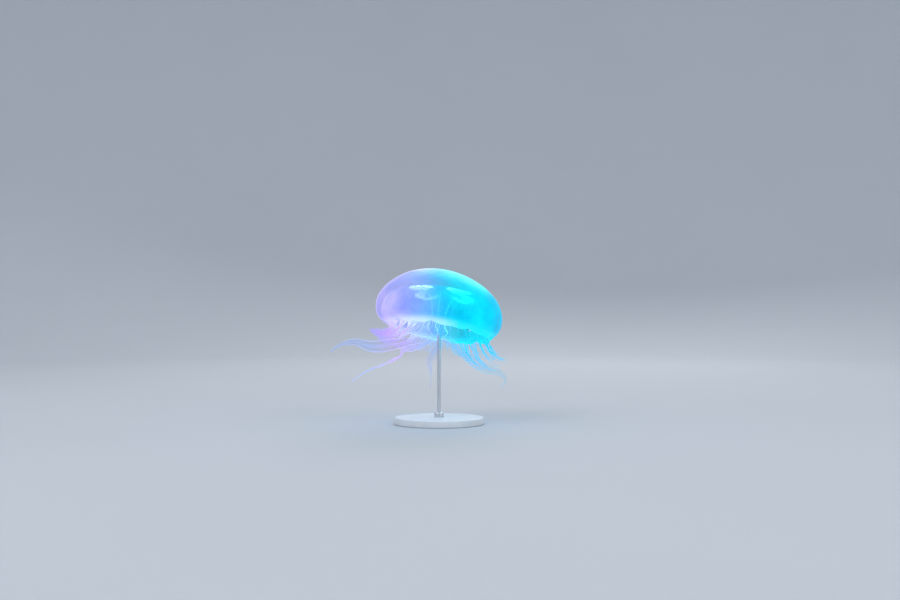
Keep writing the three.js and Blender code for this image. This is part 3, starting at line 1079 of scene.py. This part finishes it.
for i, (name, arm) in enumerate(ARMS.items()):
    at = smooth_course([Vector(place) for place in arm["course"]])
    blade = Vector(arm["blade"]).normalized()
    bm = bmesh.new()
    strip = bm.loops.layers.uv.new("strip")
    add_sheet(bm, ARM_STEPS, FLAP_STEPS, flap_place(arm, at, blade, 1.7 * i), strip)
    bmesh.ops.solidify(bm, geom=list(bm.faces), thickness=FLAP_THICKNESS)
    close_up(bm)
    bm.transform(TO_WORLD)
    flap_jelly = jelly(f"{name}_arm_jelly", arm_tint, arm_opacity(arm["milk"]), 0.5, 0.35,
                       arm_bump, 0.06)
    ribbon = mesh_object(f"oral_arm_{name}", bm, flap_jelly)
    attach(ribbon, "root")
    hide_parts(*[f"oral_arm_{name}_{part}" for part in ("root", "middle", "tip")])

# ---------------------------------------- sense organs
# A tiny club hangs in each notch of the lip: a clear stalk that widens to a bulb, dark at its
# end. It tells light from dark and up from down.
CLUB_LINE = [(0, 2.1), (0.45, 2.0), (0.5, 1.5), (0.55, 1.0), (0.9, 0.5), (1.08, 0), (1.0, -0.45),
             (0.6, -0.8), (0, -0.9)]
SENSE_RING = 70
CLUB_STEPS = 20

bm = bmesh.new()
for i in range(LAPPETS):
    azimuth = BODY_TURN + 2 * math.pi * i / LAPPETS
    before = set(bm.verts)
    spin_round(bm, CLUB_LINE, CLUB_STEPS)
    for corner in set(bm.verts) - before:
        corner.co += on_ring(SENSE_RING, azimuth)
close_up(bm)
bm.transform(POSE)


def club_tint(tree):
    blurred = maths(tree, "MULTIPLY_ADD", fine_noise(tree, 900), 0.7, bell_part(tree, "Z"))
    return ramp(tree, rescale(tree, blurred, -0.6, 1.6), [
        (0.20, (150, 124, 196)),
        (0.45, (192, 180, 230)),
        (0.80, (214, 228, 255)),
    ])


club_flesh = jelly("club_flesh", club_tint, lambda tree: by_angle(tree, 0.7, 1.0), 0.4, 0.3)
clubs = mesh_object("sense_organ_clubs", bm, club_flesh)
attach(clubs, "root")
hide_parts(*[f"sense_organ_{i + 1}" for i in range(LAPPETS)])

# ---------------------------------------- tentacles
# Hundreds of hair-fine tentacles grow side by side from under the lip. At the sides they stream
# outwards in locks, and in the middle they hang one by one, because the bell has just closed.
LOCKS = 24
TENTACLES_PER_LOCK = 13
TENTACLE_RING = 70
ROOT_RADIUS = 0.55
TIP_RADIUS = 0.17
TENTACLE_STEPS = 18
TENTACLE_ROOT = 2.2  # its height
REACH = 25
FLANK_REACH = 40
START_TURN = 12  # degrees from straight down, at the root and then at the tip
LEFT_TURN = 155
RIGHT_TURN = 88
MIDDLE_TURN = 60
LEAD_AZIMUTH = math.radians(212)
SWEEP = 0.45  # how closely the left locks follow the one in front
BAKE_CELLS = 18  # patches to a side in the map laid out for the threads


def tentacle_course(azimuth, stray, length_share):
    """The way one tentacle runs down and out from its root under the lip."""
    side = math.cos(azimuth)
    flank = smoothstep(abs(side), 0.15, 0.6) * (1 - 0.5 * smoothstep(abs(side), 0.65, 1))
    to_left = smoothstep(-side, 0.05, 0.6)
    to_right = smoothstep(side, 0.05, 0.6)
    middle = 1 - to_left - to_right
    behind = smoothstep(math.sin(azimuth), 0.1, 0.7)
    reach = (REACH + FLANK_REACH * flank * (1 - 0.5 * behind * to_left) + 5 * stray) * length_share
    start = math.radians(START_TURN + 8 * middle)
    end = math.radians((LEFT_TURN - 35 * behind) * to_left + RIGHT_TURN * to_right
                       + MIDDLE_TURN * middle + (12 + 14 * behind) * stray)
    power = 1 + 0.25 * to_left + 0.6 * to_right + 1.4 * middle ** 2
    outward = Vector((math.tanh(3 * side - 0.5), 0.3 * math.sin(azimuth), 0)).normalized()
    place = POSE @ on_ring(TENTACLE_RING, azimuth, TENTACLE_ROOT) / MM
    points = [place.copy()]
    for i in range(TENTACLE_STEPS):
        angle = start + (end - start) * ((i + 0.5) / TENTACLE_STEPS) ** power
        step = reach / TENTACLE_STEPS
        place = place + outward * step * math.sin(angle) - Vector((0, 0, step * math.cos(angle)))
        points.append(place)
    return points


def waved(points, looseness):
    """The same course with a slow wave of its own, widest at the tip."""
    along = (points[-1] - points[0]).normalized()
    aside = along.cross(Vector((0, 1, 0.2))).normalized()
    deep = along.cross(aside)
    phase = draw.uniform(0, 2 * math.pi)
    beats = draw.uniform(0.6, 1.5)
    swing = draw.uniform(0.3, 1.9) * looseness
    spread = Vector((draw.uniform(-1, 1), draw.uniform(-1, 1), 0))
    made = []
    for i, point in enumerate(points):
        share = i / TENTACLE_STEPS
        wave = swing * share ** 1.2 * math.sin(2 * math.pi * beats * share + phase)
        made.append(point + (aside * (1 + 0.3 * spread.x) + deep * spread.y) * wave)
    return made


def tentacle_tint(tree):
    # Lilac at the left to cyan at the right: painted pink and cyan lamp light.
    threads = ramp(tree, painted_lamp_side(tree), [
        (0.02, (168, 160, 252)),
        (0.16, (194, 168, 253)),
        (0.28, (198, 184, 255)),
        (0.36, (178, 198, 255)),
        (0.48, (120, 202, 255)),
        (0.62, (50, 214, 255)),
        (0.90, (10, 208, 255)),
    ])
    root = times(tree, remap(tree, bell_part(tree, "Z"), -16, 0, 0, 0.6),
                 remap(tree, painted_lamp_side(tree), 0.3, 0.5, 1, 0.2))
    return mix_tints(tree, root, threads, lip_shade(tree))


def tentacle_opacity(tree):
    beads = rescale(tree, fine_noise(tree, 700, 1.0), 0.3, 0.7, 0.6, 0.98)
    return times(tree, beads, remap(tree, painted_lamp_side(tree), 0.3, 0.5, 1, 0.7))


def bareness(azimuth):
    """The share of tentacles that are missing here: many are lost at the right."""
    side = math.cos(azimuth)
    front = smoothstep(-math.sin(azimuth), 0.1, 0.5)
    flank = smoothstep(side, 0.62, 0.8)
    return 0.72 * front * smoothstep(side, 0, 0.2) * (1 - flank) + 0.62 * flank


thread_jelly = jelly("thread_jelly", tentacle_tint, tentacle_opacity, 0.5, 0.35)
bm = bmesh.new()
patches = bm.loops.layers.uv.new("OFBake")
lock_width = 2 * math.pi / LOCKS
lead = tentacle_course(LEAD_AZIMUTH, 0, 1)
for i in range(LOCKS):
    lock_middle = BODY_TURN + (i + 0.5) * lock_width
    gathering = 0.88 * smoothstep(abs(math.cos(lock_middle)), 0.3, 0.65)
    gathering *= 1 - 0.4 * smoothstep(math.sin(lock_middle), 0.1, 0.7)
    lock_stray = draw.uniform(-1, 1)
    lock = tentacle_course(lock_middle, lock_stray, 1)
    for j in range(TENTACLES_PER_LOCK):
        spot = (j + draw.uniform(0, 1)) / TENTACLES_PER_LOCK - 0.5
        length_share = draw.uniform(0.45, 1.05)
        stray = lock_stray * 0.6 + draw.uniform(-0.8, 0.8)
        azimuth = lock_middle + lock_width * spot
        own = tentacle_course(azimuth, stray, length_share)
        hold = draw.uniform(0.55, 1.1)
        points = []
        for number, point in enumerate(own):
            share = number / TENTACLE_STEPS
            drawn_in = hold * gathering * smoothstep(share, 0, 0.3) * (1 - 0.4 * share)
            reached = min(round(number * length_share), TENTACLE_STEPS)
            point = point.lerp(lock[reached], drawn_in)
            swept = SWEEP * smoothstep(-math.cos(lock_middle), 0.3, 0.8) * smoothstep(share, 0, 0.6)
            swept *= hold * (1 - 0.6 * smoothstep(share, 0.6, 1))
            point.x += (lead[reached].x - point.x) * swept
            point.z += (lead[reached].z - point.z) * swept
            points.append(point)
        thickness = draw.uniform(0.6, 1.15) * (1 + 0.25 * gathering)
        if draw.random() < bareness(azimuth):
            continue
        row, column = divmod(i * TENTACLES_PER_LOCK + j, BAKE_CELLS)
        patch = ((column + 0.05) / BAKE_CELLS, (row + 0.05) / BAKE_CELLS, 0.9 / BAKE_CELLS)
        add_thread(
            bm, waved(points, 1 - 0.5 * gathering), THREAD_SIDES,
            lambda along: thickness * (ROOT_RADIUS + (TIP_RADIUS - ROOT_RADIUS) * along ** 0.7),
            patches, patch,
        )
close_up(bm)
bm.transform(TO_WORLD)
fringe = mesh_object("tentacle_fringe", bm, thread_jelly)
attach(fringe, "root")
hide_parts(*[f"margin_tentacles_{i + 1}" for i in range(LAPPETS)])

# ---------------------------------------- stand
# A round base of steel with a satin lacquer and a fine groove near its edge. A slim brushed rod
# stands in its middle, held at the foot by a turned collar with a small screw.
BASE_LINE = [(0, 0), (61.2, 0), (62.2, 0.25), (62.8, 0.8), (63, 1.7), (63, 8.3), (62.8, 9.2),
             (62.2, 9.75), (61.2, 10), (56, 10), (55.8, 9.6), (55.1, 9.6), (54.9, 10), (0, 10)]
ROD_LINE = [(0, 10.05), (2.5, 10.05), (2.5, 131.8), (2.3, 132.6), (1.6, 133), (0, 133)]
COLLAR_LINE = [(2.6, 10.05), (6.3, 10.05), (6.5, 10.3), (6.5, 14.9), (6.35, 15.6), (5.9, 16.1),
               (5.3, 16.3), (3, 16.3), (2.6, 16), (2.6, 10.05)]
SCREW_RADIUS = 1.3
SCREW_HEIGHT = 13
SCREW_DEPTH = 1.4
SCREW_PLACE = 6.3
SCREW_TURN = math.radians(-60)
SOCKET_RIM = 0.5
SOCKET_DEPTH = 0.7
BASE_STEPS = 160
ROD_STEPS = 40
COLLAR_STEPS = 64
SHARP = math.radians(32)


def stand_piece(name, bm, material, slot, *nodes):
    bm.transform(TO_WORLD)
    piece = mesh_object(name, bm, material)
    piece.data.set_sharp_from_angle(angle=SHARP)
    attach(piece, "root")
    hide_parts(*nodes)


def brushed_steel(name, stretch):
    """Bare steel with fine scratches that all run one way."""
    material, tree, surface = new_material(name)
    scratches = streaky_noise(tree, object_place(tree), stretch, 4.0)
    set_inputs(tree, surface, {
        "Base Color": ramp(tree, scratches, [
            (0.3, (206, 210, 214)),
            (0.7, (232, 235, 238)),
        ]),
        "Metallic": 1.0,
        "Roughness": rescale(tree, scratches, 0.3, 0.7, 0.3, 0.46),
        "Normal": link(tree, "Bump", {"Height": scratches, "Distance": 0.00005, "Strength": 0.5}),
    })
    return material


lacquer, tree, surface = new_material("satin_lacquer")
peel = fine_noise(tree, 1800, 2.0)
set_inputs(tree, surface, {
    "Base Color": ramp(tree, fine_noise(tree, 45), [
        (0.3, (222, 227, 232)),
        (0.7, (230, 234, 238)),
    ]),
    "Roughness": rescale(tree, fine_noise(tree, 160), 0.3, 0.7, 0.3, 0.42),
    "Normal": link(tree, "Bump", {"Height": peel, "Distance": 0.00006, "Strength": 0.4}),
})

bm = bmesh.new()
spin_round(bm, BASE_LINE, BASE_STEPS)
stand_piece("stand_base_disc", bm, lacquer, "stand_base", "stand_base")
bm = bmesh.new()
spin_round(bm, ROD_LINE, ROD_STEPS)
stand_piece("stand_rod_bar", bm, brushed_steel("steel_along", (2600, 2600, 30)),
            "stand_steel", "stand_rod")
bm = bmesh.new()
spin_round(bm, COLLAR_LINE, COLLAR_STEPS)
screw = bmesh.ops.create_cone(bm, cap_ends=True, segments=24, radius1=SCREW_RADIUS,
                              radius2=SCREW_RADIUS, depth=SCREW_DEPTH)["verts"]
cap = max(faces_of(screw), key=lambda face: face.calc_center_median().z)
bmesh.ops.inset_region(bm, faces=[cap], thickness=SOCKET_RIM)
bmesh.ops.translate(bm, verts=cap.verts, vec=(0, 0, -SOCKET_DEPTH))
screw = {corner for corner in bm.verts if math.hypot(corner.co.x, corner.co.y) < 1.5}
to_side = (
    Matrix.Rotation(SCREW_TURN, 4, "Z")
    @ Matrix.Translation((SCREW_PLACE, 0, SCREW_HEIGHT))
    @ Matrix.Rotation(math.radians(90), 4, "Y")
)
bmesh.ops.transform(bm, matrix=to_side, verts=list(screw))
stand_piece("stand_collar_ring", bm, brushed_steel("steel_round", (60, 60, 5200)),
            "stand_steel", "stand_collar")
